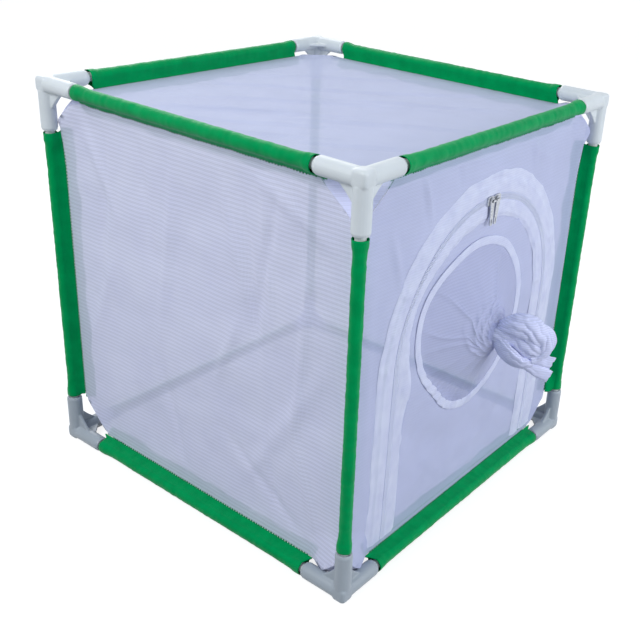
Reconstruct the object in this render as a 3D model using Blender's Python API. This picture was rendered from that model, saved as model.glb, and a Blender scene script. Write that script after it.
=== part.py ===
"""A cube insect cage: plastic tubes in three-way corner fittings carry a net bag on twelve fabric sleeves.

The front panel has an arched zip door that folds down about its bottom edge. The door carries the
zip's two sliders and a round hand port, whose net sleeve is gathered and tied in a knot.

All pieces are children of the empty "cage", which sits at the centre of the cube of tube axes.
The door's pieces are children of the empty "door_hinge", on the door's bottom edge.
"""

from math import acos, cos, hypot, pi, sin, sqrt, tan

import bmesh
import bpy
from mathutils import Matrix, Vector
from mathutils.geometry import delaunay_2d_cdt

for old in list(bpy.data.objects):
    bpy.data.objects.remove(old, do_unlink=True)

# Units
mm = 0.001
degree = pi / 180

# Frame of tubes
tube_span = 400 * mm  # between the axes of parallel tubes
tube_diameter = 9.6 * mm
tube_wall = 1.1 * mm
fit_gap = 0.3 * mm  # between pieces that touch
cut_overrun = 2 * mm
weld_distance = 0.0001 * mm
tube_sides = 16

# Corner fittings
fitting_diameter = 16.5 * mm
arm_reach = 46 * mm  # from the corner's centre to the mouth of an arm
socket_floor = 15 * mm  # from the corner's centre to the bottom of a socket
lip_length = 2.2 * mm
lip_step = 0.8 * mm
hub_shrink = 0.2 * mm  # how far the hub's flats lie under the arms' surfaces
hub_squareness = 4.5  # exponent of the superellipsoid
hub_cuts = 5
gusset_leg = 15 * mm  # along an arm, from the other arm's surface
gusset_sag = 1.4 * mm
gusset_thickness = 3.4 * mm
gusset_steps = 5
gusset_root = 6.6 * mm  # from the arms' axes, inside their walls
arm_root_radius = 6 * mm  # an arm grows out of the hub from this radius
arm_root_start = 1 * mm  # from the corner's centre
arm_root_end = 6 * mm
foot_cut = 0.5 * mm  # taken off under the four lower fittings
arm_sides = 20

# Net bag
net_inset = 9 * mm  # from the tube axes to the net's planes
net_thickness = 0.6 * mm
corner_cut = 38 * mm  # along each seam, where the bag is cut back from a fitting

# Fabric sleeves over the tubes
sleeve_wall = 0.45 * mm
sleeve_gap = 2.5 * mm  # from the mouth of a fitting's arm
sleeve_flare = 0.9 * mm
sleeve_flare_length = 9 * mm
web_thickness = 0.9 * mm
web_depth = 2.7 * mm  # of the two layers sewn flat together
web_gap = 0.35 * mm
sleeve_flank = 62 * degree  # where the fabric leaves the tube for the web
sleeve_sides = 14

# Door
hinge_height = 15 * mm  # above the axis of the bottom tube
door_lean = 1 * degree  # the slack panel leans out from its bottom edge
hinge_gap = 0.45 * mm
door_foot_gap = 0.2 * mm
door_side_margin = 68 * mm  # from the posts' axes to the zip's middle
door_top_margin = 64 * mm  # from the top tube's axis to the zip's middle
net_lap = 6 * mm  # from the zip's middle to the edges of the net on both sides
arch_steps = 30
side_steps = 3

# Zip
chain_gap = 1.6 * mm
coil_width = 2.2 * mm
coil_depth = 2 * mm
tape_reach = 15 * mm  # from the zip's middle
tape_thickness = 0.5 * mm
zip_foot = 1.5 * mm  # above the hinge

# Facings that cover the tapes
facing_start = 5.2 * mm  # from the zip's middle
outer_facing_reach = 26 * mm
inner_facing_reach = 20 * mm
facing_thickness = 0.7 * mm

# Hand port and its net sleeve
port_rise = 1 * mm  # above the arch's centre
port_side = -10 * mm  # from the door's middle
port_margin = 38 * mm  # from the zip's middle to the binding, before the port's shift
binding_width = 9 * mm
binding_thickness = 1.8 * mm
port_lap = 1.5 * mm  # of the net under the binding
port_sides = 48
throat_radius = 9 * mm
throat_reach = 29 * mm  # in front of the door
throat_shift = 2 * mm  # to the side of the port's middle
throat_rise = 3 * mm  # above the port's middle
pleats = 12
pleat_depth = 2.2 * mm
pleat_twist = 50 * degree
funnel_power = 1.2
funnel_rings = 7

# Knot
knot_from_throat = Vector((22 * mm, -26 * mm, -6 * mm))  # across, outwards and upwards
knot_radii = Vector((26 * mm, 27 * mm, 25 * mm))
knot_lobe = 2.4 * mm
knot_rows = 12
knot_columns = 24
tail_width = 15 * mm
tail_thickness = 5 * mm
tail_length = 34 * mm
tail_shares = (0, 0.5, 1)  # places along a tail that have a section
tail_root_share = 0.7  # of its width, where it leaves the knot
tail_end_share = 0.5  # of its thickness, at its end
tail_shoulder_share = 0.5  # of its thickness, along its edges
tails_from_knot = (Vector((8 * mm, -9 * mm, -13 * mm)), Vector((1 * mm, -2 * mm, -16 * mm)))
tail_angles = (-36 * degree, -61 * degree)

# Sliders and their pulls
slider_length = 11 * mm
slider_width = 8.8 * mm
slider_plate = 1.3 * mm
slider_nose = 6.5 * mm  # length of the wedge between the two rows of the chain
wedge_thickness = 0.9 * mm
slider_corner = 2.2 * mm
crown_clear = 1.9 * mm  # under the crown's bar
crown_bar = 0.8 * mm
crown_width = 2 * mm
crown_leg = 0.9 * mm
crown_span = 4 * mm  # between the middles of its legs
pull_leg_offset = 0.8 * mm  # from the slider's middle, towards its nose
pull_length = 25 * mm  # from the crown's leg to the tip
pull_eye = 3.2 * mm  # outer radius
pull_hole = 1.6 * mm
pull_tip_radius = 2.3 * mm
pull_thickness = 1.2 * mm
pull_tilt = 4 * degree
slot_length = 5 * mm
slot_width = 1.4 * mm
slot_from_tip = 1.9 * mm
slot_bevel_share = 0.1  # of the slot's length
round_steps = 6

# Worked out from these
axis_half = tube_span / 2
zip_radius = axis_half - door_side_margin
arch_height = tube_span - hinge_height - door_top_margin - zip_radius  # the arch's centre above the hinge
port_height = arch_height + port_rise
port_radius = zip_radius - port_margin  # outside of the binding
throat_side = port_side + throat_shift
throat_height = port_height + throat_rise
knot_centre = Vector((throat_side, -throat_reach, throat_height)) + knot_from_throat
tail_roots = [knot_centre + step for step in tails_from_knot]
tube_radius = tube_diameter / 2
arm_radius = fitting_diameter / 2
floor_below = arm_radius - foot_cut  # from the bottom tube's axis to the floor
net_plane = axis_half - net_inset
net_edge = net_plane - net_thickness / 2 - fit_gap
cut_edge = net_edge - corner_cut
sleeve_start = arm_reach + sleeve_gap  # from the corner's centre
sleeve_inner = tube_radius + fit_gap
sleeve_outer = sleeve_inner + sleeve_wall
web_length = (2 * axis_half - net_edge - net_plane - net_thickness / 2) / sqrt(2) - web_gap
tape_back = net_thickness / 2 + fit_gap
tape_front = tape_back + tape_thickness
coil_middle = (tape_back + tape_front) / 2
coil_front = coil_middle + coil_depth / 2
coil_back = coil_middle - coil_depth / 2
facing_back = tape_front + fit_gap
facing_front = facing_back + facing_thickness
plate_back = coil_front + fit_gap
plate_front = plate_back + slider_plate
crown_front = plate_front + crown_clear + crown_bar
pull_middle = plate_front + crown_clear / 2


def material(name, colour, roughness, metallic=0.0):
    made = bpy.data.materials.new(name)
    made.use_nodes = True
    shader = made.node_tree.nodes["Principled BSDF"]
    shader.inputs["Base Color"].default_value = (*colour, 1)
    shader.inputs["Roughness"].default_value = roughness
    shader.inputs["Metallic"].default_value = metallic
    made.diffuse_color = (*colour, 1)
    return made


fitting_plastic = material("fitting_plastic", (0.83, 0.86, 0.87), 0.35)
tube_plastic = material("tube_plastic", (0.86, 0.87, 0.86), 0.4)
sleeve_fabric = material("sleeve_fabric", (0.0, 0.33, 0.13), 0.75)
net_fabric = material("net_fabric", (0.66, 0.68, 0.86), 0.8)
facing_fabric = material("facing_fabric", (0.76, 0.78, 0.94), 0.8)
zip_tape = material("zip_tape", (0.68, 0.73, 0.86), 0.6)
slider_metal = material("slider_metal", (0.62, 0.64, 0.68), 0.3, 1.0)


def empty(name, parent=None, location=(0, 0, 0), tilt=0.0):
    made = bpy.data.objects.new(name, None)
    bpy.context.scene.collection.objects.link(made)
    made.parent = parent
    made.location = location
    made.rotation_euler.x = tilt
    return made


def piece(name, points, faces, finish, parent, origin=(0, 0, 0), smooth=40 * degree):
    """One closed body as an object. Its faces are turned outwards and its points are from the parent's origin."""
    mesh = bpy.data.meshes.new(name)
    shift = Vector(origin)
    mesh.from_pydata([Vector(p) - shift for p in points], [], faces)
    built = bmesh.new()
    built.from_mesh(mesh)
    bmesh.ops.recalc_face_normals(built, faces=built.faces)
    if built.calc_volume(signed=True) < 0:
        bmesh.ops.reverse_faces(built, faces=built.faces)
    built.to_mesh(mesh)
    built.free()
    mesh.shade_smooth()
    mesh.set_sharp_from_angle(angle=smooth)
    mesh.materials.append(finish)
    made = bpy.data.objects.new(name, mesh)
    bpy.context.scene.collection.objects.link(made)
    made.parent = parent
    made.location = origin
    return made


def loft(rings, caps=True):
    """Points and faces of a closed skin over rings of equal counts, capped at both ends or joined up."""
    count = len(rings[0])
    points = [p for ring in rings for p in ring]
    faces = []
    last = len(rings) - 1 if caps else len(rings)
    for i in range(last):
        here, there = i * count, (i + 1) % len(rings) * count
        for k in range(count):
            n = (k + 1) % count
            faces.append((here + k, here + n, there + n, there + k))
    if caps:
        faces.append(tuple(range(count))[::-1])
        faces.append(tuple(last * count + k for k in range(count)))
    return points, faces


def box(low, high):
    (ax, ay, az), (bx, by, bz) = low, high
    ring = [(ax, ay), (bx, ay), (bx, by), (ax, by)]
    return loft([[(x, y, az) for x, y in ring], [(x, y, bz) for x, y in ring]])


def circle(radius, sides, start=0.0):
    return [
        (radius * cos(start + 2 * pi * k / sides), radius * sin(start + 2 * pi * k / sides))
        for k in range(sides)
    ]


def crossings(loop, spot):
    """How often a ray along +X from a spot crosses a closed outline."""
    count = 0
    for (ax, ay), (bx, by) in zip(loop, loop[1:] + loop[:1]):
        if (ay > spot.y) != (by > spot.y):
            count += spot.x < ax + (bx - ax) * (spot.y - ay) / (by - ay)
    return count


def sheet(loops, place, inner=(), lines=()):
    """A thin closed body over a flat outline with holes. place(u, v) gives the two faces' points."""
    flat, edges = [], []
    for loop in loops:
        base = len(flat)
        flat += loop
        edges += [(base + k, base + (k + 1) % len(loop)) for k in range(len(loop))]
    for line in lines:
        base = len(flat)
        flat += line
        edges += [(base + k, base + k + 1) for k in range(len(line) - 1)]
    flat += list(inner)
    whole_hull = 0
    spots, _, triangles, *_ = delaunay_2d_cdt(
        [Vector(p) for p in flat], edges, [], whole_hull, weld_distance
    )
    count = len(spots)
    sides = [place(u, v) for u, v in spots]
    points = [front for front, back in sides] + [back for front, back in sides]
    faces, rim = [], set()
    for face in triangles:
        middle = sum((spots[i] for i in face), Vector((0, 0))) / len(face)
        if sum(crossings(loop, middle) for loop in loops) % 2 == 0:
            continue
        faces.append(tuple(face))
        faces.append(tuple(count + i for i in reversed(face)))
        for k in range(len(face)):
            edge = (face[k], face[(k + 1) % len(face)])
            if edge[::-1] in rim:
                rim.discard(edge[::-1])
            else:
                rim.add(edge)
    faces += [(a, count + a, count + b, b) for a, b in sorted(rim)]
    return points, faces


# Empties that carry the pieces
cage = empty("cage")
hinge_place = (0, -net_plane, hinge_height - axis_half)
door_hinge = empty("door_hinge", cage, hinge_place, door_lean)


# Corner fittings
def turned_arm(direction):
    """A solid arm from the corner's centre along an axis, with its lip."""
    profile = [
        (arm_root_radius, arm_root_start),
        (arm_radius, arm_root_end),
        (arm_radius, arm_reach - lip_length),
        (arm_radius - lip_step, arm_reach - lip_length + lip_step),
        (arm_radius - lip_step, arm_reach),
    ]
    rings = [[(a, b, along) for a, b in circle(r, arm_sides)] for r, along in profile]
    points, faces = loft(rings)
    return [Vector(p) for p in turned_to(direction, points)], faces


def turned_to(axis, points):
    """Points made along Z, turned so that Z lies along axis 0, 1 or 2."""
    order = {0: (2, 0, 1), 1: (1, 2, 0), 2: (0, 1, 2)}[axis]
    return [tuple(p[k] for k in order) for p in points]


def socket(direction):
    radius = tube_radius + fit_gap
    ends = (socket_floor, arm_reach + cut_overrun)
    rings = [[(a, b, along) for a, b in circle(radius, tube_sides)] for along in ends]
    points, faces = loft(rings)
    return turned_to(direction, points), faces


def gusset(direction):
    """The web between the two arms that are square to an axis, with a hollow edge."""
    root = arm_radius + gusset_leg
    start, end = Vector((root, arm_radius)), Vector((arm_radius, root))
    middle = (start + end) / 2 - Vector((1, 1)).normalized() * gusset_sag
    outline = [(gusset_root, gusset_root), (root, gusset_root)]
    for k in range(gusset_steps + 1):
        t = k / gusset_steps
        spot = start.lerp(middle, t).lerp(middle.lerp(end, t), t)
        outline.append((spot.x, spot.y))
    outline.append((gusset_root, root))
    half = gusset_thickness / 2
    points, faces = loft([[(a, b, -half) for a, b in outline], [(a, b, half) for a, b in outline]])
    return turned_to(direction, points), faces


def hub():
    """A rounded cube about the corner's centre: a cube's grid pushed out to a superellipsoid."""
    made = bmesh.new()
    bmesh.ops.create_cube(made, size=2)
    bmesh.ops.subdivide_edges(made, edges=made.edges[:], cuts=hub_cuts, use_grid_fill=True)
    radius = arm_radius - hub_shrink
    for v in made.verts:
        way = v.co.normalized()
        reach = sum(abs(c) ** hub_squareness for c in way) ** (-1 / hub_squareness)
        v.co = way * reach * radius
    bmesh.ops.triangulate(made, faces=made.faces[:])
    points = [v.co.copy() for v in made.verts]
    faces = [tuple(v.index for v in f.verts) for f in made.faces]
    made.free()
    return points, faces


def cutter(shape, index):
    """A hidden body for a Boolean modifier."""
    made = piece(f"guide_{index}", *shape, fitting_plastic, None)
    made.hide_render = True
    made.display_type = "WIRE"
    return made


def fitting_shape(with_foot):
    """Points and faces of a fitting whose arms run along +X, +Y and +Z, after its Booleans."""
    solid = piece("fitting_blank", *hub(), fitting_plastic, None)
    steps = [(turned_arm(k), "UNION") for k in range(3)]
    steps += [(gusset(k), "UNION") for k in range(3)]
    steps += [(socket(k), "DIFFERENCE") for k in range(3)]
    if with_foot:
        side = arm_reach + cut_overrun
        low = (-side, -side, -arm_radius - cut_overrun)
        steps.append((box(low, (side, side, -floor_below)), "DIFFERENCE"))
    guides = [cutter(shape, k) for k, (shape, _) in enumerate(steps)]
    for guide, (_, operation) in zip(guides, steps):
        change = solid.modifiers.new(operation.lower(), "BOOLEAN")
        change.operation = operation
        change.object = guide
        change.solver = "EXACT"
    bpy.context.view_layer.update()
    seen = solid.evaluated_get(bpy.context.evaluated_depsgraph_get())
    mesh = seen.to_mesh()
    points = [v.co.copy() for v in mesh.vertices]
    faces = [tuple(p.vertices) for p in mesh.polygons]
    seen.to_mesh_clear()
    for made in [solid, *guides]:
        bpy.data.objects.remove(made, do_unlink=True)
    return points, faces


sides = {"left": -1, "right": 1}
depths = {"front": -1, "back": 1}
levels = {"bottom": -1, "top": 1}
corners = [
    (f"corner_{level}_{depth}_{side}", right, back, up)
    for level, up in levels.items()
    for depth, back in depths.items()
    for side, right in sides.items()
]
fittings = {up: fitting_shape(up < 0) for up in levels.values()}
for name, right, back, up in corners:
    points, faces = fittings[up]
    signs = Vector((right, back, up))
    corner = signs * axis_half
    placed = [corner - Vector((p.x * right, p.y * back, p.z * up)) for p in points]
    piece(name, placed, faces, fitting_plastic, cage, corner)


# Tubes and their sleeves
def tube_shape(radius_out, radius_in, half):
    rings = [
        [(a, b, z) for a, b in circle(r, tube_sides)]
        for r, z in (
            (radius_out, -half),
            (radius_out, half),
            (radius_in, half),
            (radius_in, -half),
        )
    ]
    return loft(rings, caps=False)


def sleeve_rings(grow):
    """The outer and the inner outline of a sleeve, with as many points each."""
    outer_radius, inner_radius = sleeve_outer + grow, sleeve_inner + grow
    sweep = 2 * pi - 2 * sleeve_flank
    angles = [sleeve_flank + sweep * k / sleeve_sides for k in range(sleeve_sides + 1)]
    root = web_length - web_depth
    half = web_thickness / 2
    crease = root - web_thickness
    outer = [(outer_radius * cos(a), outer_radius * sin(a)) for a in angles]
    outer += [(root, -half), (web_length, -half), (web_length, half), (root, half)]
    inner = [(inner_radius * cos(a), inner_radius * sin(a)) for a in angles]
    slack = half / 2
    middle = (inner_radius * cos(sleeve_flank) + crease) / 2
    spread = (inner_radius * sin(sleeve_flank) + slack) / 2
    inner += [(middle, -spread), (crease, -slack), (crease, slack), (middle, spread)]
    return outer, inner


def sleeve_shape(half):
    outer_rings, inner_rings = [], []
    stations = [
        (-half, sleeve_flare),
        (-half + sleeve_flare_length, 0),
        (half - sleeve_flare_length, 0),
        (half, sleeve_flare),
    ]
    for z, grow in stations:
        outer, inner = sleeve_rings(grow)
        outer_rings.append([(a, b, z) for a, b in outer])
        inner_rings.append([(a, b, z) for a, b in inner])
    return loft(outer_rings + inner_rings[::-1], caps=False)


def along(axis, u_sign, v_sign):
    """The turn that lays Z along a tube's axis and the web's direction towards the cage's middle."""
    way = Vector([1.0 if k == axis else 0.0 for k in range(3)])
    inward = Vector((0, 0, 0))
    others = [k for k in range(3) if k != axis]
    inward[others[0]] = -u_sign
    inward[others[1]] = -v_sign
    inward.normalize()
    third = way.cross(inward)
    return Matrix((inward, third, way)).transposed(), -inward * axis_half * sqrt(2)


runs = []
for level, up in levels.items():
    runs += [(f"{level}_{depth}", 0, back, up) for depth, back in depths.items()]
    runs += [(f"{level}_{side}", 1, right, up) for side, right in sides.items()]
for depth, back in depths.items():
    runs += [(f"post_{depth}_{side}", 2, right, back) for side, right in sides.items()]

tube_half = axis_half - socket_floor - fit_gap
sleeve_half = axis_half - sleeve_start
for name, axis, u_sign, v_sign in runs:
    turn, middle = along(axis, u_sign, v_sign)
    for word, shape, finish in (
        ("tube", tube_shape(tube_radius, tube_radius - tube_wall, tube_half), tube_plastic),
        ("sleeve", sleeve_shape(sleeve_half), sleeve_fabric),
    ):
        points, faces = shape
        placed = [middle + turn @ Vector(p) for p in points]
        piece(f"{word}_{name}", placed, faces, finish, cage, middle)


# Net panels
def octagon(edge, cut):
    """A square with cut corners, anticlockwise."""
    quarter = [(edge, -cut), (edge, cut)]
    points = []
    for k in range(4):
        c, s = round(cos(pi / 2 * k)), round(sin(pi / 2 * k))
        points += [(c * a - s * b, s * a + c * b) for a, b in quarter]
    return points


def flat_panel(name, axis, sign):
    half = net_thickness / 2

    def place(u, v):
        spots = []
        for depth in (net_plane + half, net_plane - half):
            spot = [u, v]
            spot.insert(axis, sign * depth)
            spots.append(spot)
        return spots

    piece(name, *sheet([octagon(net_edge, cut_edge)], place), net_fabric, cage)


flat_panel("net_left", 0, -1)
flat_panel("net_right", 0, 1)
flat_panel("net_back", 1, 1)
flat_panel("net_bottom", 2, -1)
flat_panel("net_top", 2, 1)


def corner_net(right, back, up):
    """The small three-sided net that closes one cut corner of the bag."""
    signs = Vector((right, back, up))
    normal = signs.normalized()
    tips = []
    for k in range(3):
        tip = signs * net_plane
        tip[k] -= signs[k] * (corner_cut + fit_gap)
        tips.append(tip)
    middle = (tips[0] + tips[1] + tips[2]) / 3
    inset = [tip.lerp(middle, fit_gap / corner_cut) for tip in tips]
    half = normal * net_thickness / 2
    return loft([[tip - half for tip in inset], [tip + half for tip in inset]])


for name, right, back, up in corners:
    piece(f"net_{name}", *corner_net(right, back, up), net_fabric, cage)


# Paths that follow the door's arch
def arch_station(offset, foot):
    """Places along the arch at an offset outside the zip's middle, from the left foot to the right one."""
    radius = zip_radius + offset
    places = []
    for k in range(side_steps):
        places.append((-radius, foot + (arch_height - foot) * k / side_steps))
    for k in range(arch_steps + 1):
        angle = pi * (1 - k / arch_steps)
        places.append((radius * cos(angle), arch_height + radius * sin(angle)))
    places += [(-u, v) for u, v in reversed(places[:side_steps])]
    return places


def strip_shape(section):
    """A strip along the arch. section lists (offset outside the zip's middle, place in front of the net)."""
    tracks = [
        [(u, -front, v) for u, v in arch_station(offset, zip_foot)] for offset, front in section
    ]
    return loft([list(ring) for ring in zip(*tracks)])


def tape_section(side):
    """One row of the coil and its tape, outside (1) or inside (-1) the zip's middle."""
    start, end = chain_gap / 2, chain_gap / 2 + coil_width
    outline = [
        (start, coil_back),
        (end, coil_back),
        (end, tape_back),
        (tape_reach, tape_back),
        (tape_reach, tape_front),
        (end, tape_front),
        (end, coil_front),
        (start, coil_front),
    ]
    return [(side * offset, front) for offset, front in outline]


def facing_section(side, reach):
    return [
        (side * facing_start, facing_back),
        (side * reach, facing_back),
        (side * reach, facing_front),
        (side * facing_start, facing_front),
    ]


def outside_door(shape):
    """A fixed piece built in the door's frame, carried by the cage."""
    turn = Matrix.Translation(hinge_place) @ Matrix.Rotation(door_lean, 4, "X")
    points, faces = shape
    return [turn @ Vector(p) for p in points], faces


piece("zip_tape_outer", *outside_door(strip_shape(tape_section(1))), zip_tape, cage)
outer_facing = strip_shape(facing_section(1, outer_facing_reach))
piece("facing_outer", *outside_door(outer_facing), facing_fabric, cage)


# Front net panel, with the arched opening
def door_outside(u, v):
    """How far a place on the door's plane lies outside the outer facing."""
    reach = zip_radius + outer_facing_reach
    if v > arch_height:
        return max(hypot(u, v - arch_height) - reach, 0)
    return max(abs(u) - reach, 0)


def to_seam(x, z):
    """The way from a place on the panel to its nearest seam or cut corner."""
    edge = min(net_edge - abs(x), net_edge - abs(z))
    return max(min(edge, (net_edge + cut_edge - abs(x) - abs(z)) / sqrt(2)), 0)


def front_place(x, z):
    """The panel's two faces: it follows the leaning door and falls back to its seams."""
    rise = max(z - hinge_place[2], 0)
    outside = door_outside(x, rise / cos(door_lean))
    seam = to_seam(x, z)
    follow = 1.0 if outside <= 0 else seam / (seam + outside)
    middle = Vector((x, -net_plane - follow * rise * tan(door_lean), z))
    lean = follow * door_lean
    normal = Vector((0, -cos(lean), -sin(lean))) * net_thickness / 2
    return middle + normal, middle - normal


def on_panel(places):
    return [(u, hinge_place[2] + v * cos(door_lean)) for u, v in places]


opening = on_panel(arch_station(net_lap, -hinge_gap))
facing_line = on_panel(arch_station(outer_facing_reach, zip_foot))
halfway = []
for x, z in facing_line[::2]:
    outward = Vector((x, max(z - hinge_place[2] - arch_height, 0))).normalized()
    middle = Vector((x, z)) + outward * to_seam(x, z) / 2
    halfway.append((middle.x, middle.y))
front_shape = sheet([octagon(net_edge, cut_edge), opening], front_place, halfway, [facing_line])
piece("net_front", *front_shape, net_fabric, cage)


# Door: the flap of net with the round port
def door_place(u, v):
    half = net_thickness / 2
    return (u, -half, v), (u, half, v)


port_net_radius = port_radius - binding_width + port_lap
flap_outline = arch_station(-net_lap, door_foot_gap)
port_hole = [
    (port_side + a, port_height + b) for a, b in circle(port_net_radius, port_sides)
]
piece("door_net", *sheet([flap_outline, port_hole], door_place), net_fabric, door_hinge)
piece("zip_tape_inner", *strip_shape(tape_section(-1)), zip_tape, door_hinge)
inner_facing = strip_shape(facing_section(-1, inner_facing_reach))
piece("facing_inner", *inner_facing, facing_fabric, door_hinge)


# Binding round the port
binding_inner = port_radius - binding_width
binding_back = tape_back
binding_rings = [
    [(port_side + a, -front, port_height + b) for a, b in circle(radius, port_sides)]
    for radius, front in (
        (port_radius, binding_back),
        (port_radius, binding_back + binding_thickness),
        (binding_inner, binding_back + binding_thickness),
        (binding_inner, binding_back),
    )
]
piece("port_binding", *loft(binding_rings, caps=False), facing_fabric, door_hinge)


# Net sleeve of the port, drawn in to its throat in a ring of pleats
def funnel_ring(t, inside):
    """One ring of the funnel, from its rim (0) to its throat (1)."""
    rim = binding_inner - fit_gap
    radius = rim + (throat_radius - rim) * t - inside * net_thickness * t
    front = binding_back + (throat_reach - binding_back) * t**funnel_power
    front -= inside * net_thickness * (1 - t)
    centre_u = port_side + (throat_side - port_side) * t
    centre_v = port_height + (throat_height - port_height) * t
    depth = pleat_depth * sin(pi * t) if 0 < t < 1 else 0
    ring = []
    for k in range(port_sides):
        angle = 2 * pi * k / port_sides
        fold = depth * cos(pleats * angle)
        turned = angle + pleat_twist * t * t
        ring.append(
            (
                centre_u + radius * cos(turned),
                -front - fold,
                centre_v + radius * sin(turned),
            )
        )
    return ring


shares = [k / (funnel_rings - 1) for k in range(funnel_rings)]
funnel_rings_out = [funnel_ring(t, 0) for t in shares]
funnel_rings_in = [funnel_ring(t, 1) for t in reversed(shares)]
piece("port_sleeve", *loft(funnel_rings_out + funnel_rings_in, caps=False), net_fabric, door_hinge)


# Knot in the end of the sleeve
def knot_body():
    """A rounded lump with spiral lobes that leans back to the sleeve's throat and starts flat against it."""
    back = -(throat_reach + fit_gap)
    start = acos((back - knot_centre.y) / knot_radii.y)
    rings = []
    for i in range(knot_rows):
        polar = start + (pi - start) * i / knot_rows
        behind = ((1 + cos(polar)) / (1 + cos(start))) ** 2
        middle_x = knot_centre.x + (throat_side - knot_centre.x) * behind
        middle_z = knot_centre.z + (throat_height - knot_centre.z) * behind
        ring = []
        for k in range(knot_columns):
            angle = 2 * pi * k / knot_columns
            lobe = knot_lobe * sin(polar) * cos(3 * angle + 4 * polar)
            x = middle_x + (knot_radii.x + lobe) * sin(polar) * cos(angle)
            z = middle_z + (knot_radii.z + lobe) * sin(polar) * sin(angle)
            ring.append((x, knot_centre.y + knot_radii.y * cos(polar), z))
        rings.append(ring)
    return loft(rings)


def knot_tail(root, angle):
    """One flattened end of the sleeve, hanging out of the knot."""
    way = Vector((cos(angle), 0, sin(angle)))
    across = Vector((-sin(angle), 0, cos(angle)))
    rings = []
    for t in tail_shares:
        middle = root + way * tail_length * t
        wide = tail_width * (tail_root_share + (1 - tail_root_share) * t) / 2
        deep = tail_thickness * (1 + (tail_end_share - 1) * t) / 2
        edge = tail_shoulder_share
        corners_shares = ((-1, -edge), (0, -1), (1, -edge), (1, edge), (0, 1), (-1, edge))
        rings.append(
            [middle + across * a * wide + Vector((0, b * deep, 0)) for a, b in corners_shares]
        )
    return loft(rings)


knot = piece("sleeve_knot", *knot_body(), net_fabric, door_hinge)
for index, (root, angle) in enumerate(zip(tail_roots, tail_angles)):
    tail = cutter(knot_tail(root, angle), f"tail_{index}")
    tail.parent = door_hinge
    change = knot.modifiers.new("tail", "BOOLEAN")
    change.operation = "UNION"
    change.object = tail


# Sliders and pulls
def plate(outline, front_a, front_b):
    return loft([[(u, -front, v) for u, v in outline] for front in (front_a, front_b)])


def rounded(half_u, half_v, radius):
    """A rectangle's outline with round corners."""
    points = []
    for k in range(4):
        su, sv = (1, 1, -1, -1)[k], (-1, 1, 1, -1)[k]
        for j in range(3):
            angle = pi / 2 * (k - 1) + pi / 4 * j
            points.append(
                (
                    su * (half_u - radius) + radius * cos(angle),
                    sv * (half_v - radius) + radius * sin(angle),
                )
            )
    return points


def shifted(outline, u, v):
    return [(a + u, b + v) for a, b in outline]


def slider_shape(side):
    """A slider at the top of the arch. side is -1 for the left one and 1 for the right one."""
    top = arch_height + zip_radius
    middle = side * (slider_length / 2 + fit_gap)
    nose = -side
    front_plate = plate(
        shifted(rounded(slider_length / 2, slider_width / 2, slider_corner), middle, top),
        plate_back,
        plate_front,
    )
    wedge_half = slider_nose / 2
    wedge_u = middle + nose * (slider_length / 2 - wedge_half)
    wedge_back = coil_back - fit_gap
    overlap = fit_gap
    wedge = box(
        (wedge_u - wedge_half, -plate_back - overlap, top - wedge_thickness / 2),
        (wedge_u + wedge_half, -wedge_back + overlap, top + wedge_thickness / 2),
    )
    back_high = top + wedge_thickness / 2
    back_low = top - slider_width / 2
    back_plate = box(
        (middle - slider_length / 2, -wedge_back, back_low),
        (middle + slider_length / 2, -wedge_back + slider_plate, back_high),
    )
    leg_u = middle + nose * pull_leg_offset
    end_u = leg_u + nose * crown_span
    under = plate_front - overlap
    over = plate_front + crown_clear
    half_leg, half_wide = crown_leg / 2, crown_width / 2
    legs = [
        box(
            (u - half_leg, -over - overlap, top - half_wide),
            (u + half_leg, -under, top + half_wide),
        )
        for u in (leg_u, end_u)
    ]
    low_u, high_u = sorted((leg_u, end_u))
    bar = box(
        (low_u - half_leg, -crown_front, top - half_wide),
        (high_u + half_leg, -over, top + half_wide),
    )
    return front_plate, [wedge, back_plate, *legs, bar]


def unite(made, shapes, name, parent):
    for index, shape in enumerate(shapes):
        part = cutter(shape, f"{name}_{index}")
        part.parent = parent
        change = made.modifiers.new(f"with_{index}", "BOOLEAN")
        change.operation = "UNION"
        change.object = part


def pull_shape(side):
    """A flat pull that hangs from the crown's leg: a round eye, a taper and a round tip with a slot."""
    top = arch_height + zip_radius
    middle = side * (slider_length / 2 + fit_gap)
    leg = Vector((middle - side * pull_leg_offset, top))
    tip = pull_length - pull_tip_radius
    outline = []
    for k in range(round_steps + 1):
        angle = pi * k / round_steps
        outline.append((pull_eye * cos(angle), pull_eye * sin(angle)))
    for k in range(round_steps + 1):
        angle = pi + pi * k / round_steps
        outline.append((pull_tip_radius * cos(angle), -tip + pull_tip_radius * sin(angle)))
    hole = circle(pull_hole, 2 * round_steps)
    slot_end = -pull_length + slot_from_tip
    bevel = slot_bevel_share
    slot_shares = ((-1, bevel), (0, 0), (1, bevel), (1, 1 - bevel), (0, 1), (-1, 1 - bevel))
    slot = [(a * slot_width / 2, slot_end + slot_length * b) for a, b in slot_shares]
    turn = Matrix.Rotation(-side * pull_tilt, 2)
    half = pull_thickness / 2

    def place(u, v):
        spot = leg + turn @ Vector((u, v))
        return [(spot.x, -pull_middle - half, spot.y), (spot.x, -pull_middle + half, spot.y)]

    return sheet([outline, hole, slot], place), (leg.x, -pull_middle, leg.y)


arch_middle = (0, 0, arch_height)
for word, side in (("left", -1), ("right", 1)):
    body_shape, additions = slider_shape(side)
    slider = piece(f"slider_{word}", *body_shape, slider_metal, door_hinge, arch_middle)
    unite(slider, additions, f"slider_{word}", door_hinge)
    shape, leg_place = pull_shape(side)
    piece(f"pull_{word}", *shape, slider_metal, door_hinge, leg_place)


# The cage stands on the floor, centred on its bounding box with the knot in front
bpy.context.view_layer.update()
front_most = min((knot.matrix_world @ v.co).y for v in knot.data.vertices)
cage.location.y = -(front_most + axis_half + arm_radius) / 2
cage.location.z = axis_half + floor_below
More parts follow.
